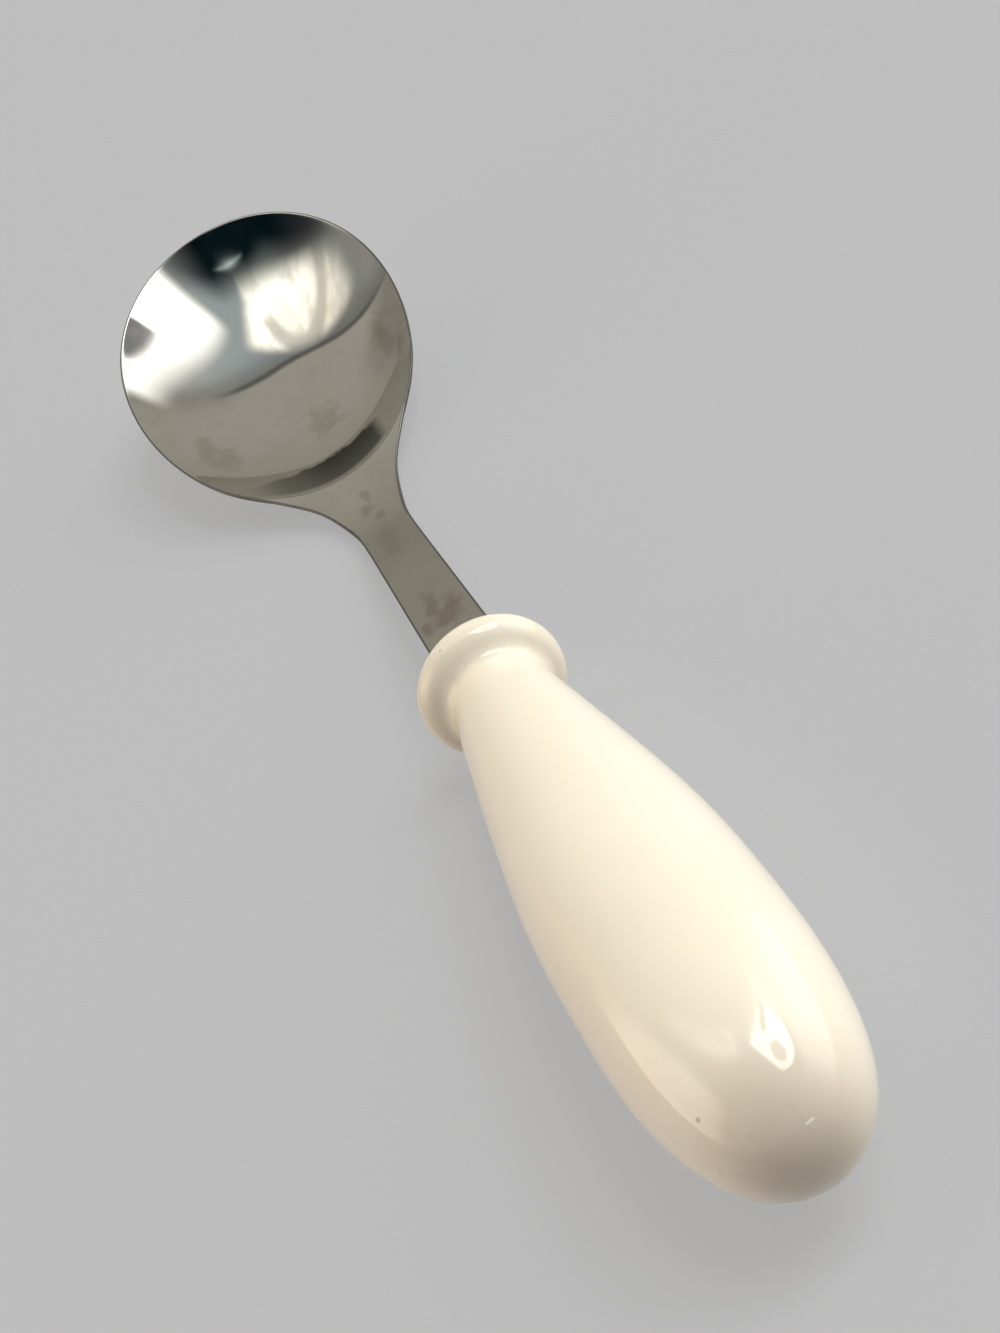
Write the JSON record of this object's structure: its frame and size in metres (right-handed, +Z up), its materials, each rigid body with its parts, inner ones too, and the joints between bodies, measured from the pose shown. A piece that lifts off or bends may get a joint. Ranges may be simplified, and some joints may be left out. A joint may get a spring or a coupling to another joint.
{
  "type": "serving spoon",
  "caption": "Serving spoon with an oval polished steel bowl, a flat curved neck and a hollow glazed ceramic handle with a bead collar.",
  "frame": {"origin": "on the table, under the middle of the spoon's bounding box as it lies with the bowl facing up", "axes": "+X from the butt of the handle towards the tip of the bowl, +Z up out of the bowl's hollow"},
  "size_m": [0.246, 0.0524, 0.0274],
  "materials": {
    "steel": "mirror polish in the bowl, satin on the neck, lightly smudged",
    "glaze": "glossy ivory glaze",
    "epoxy": "matt filled epoxy"
  },
  "bodies": {
    "root": {"spoon_head": "steel", "handle_shell": "glaze", "tang_adhesive": "epoxy"}
  },
  "joints": []
}
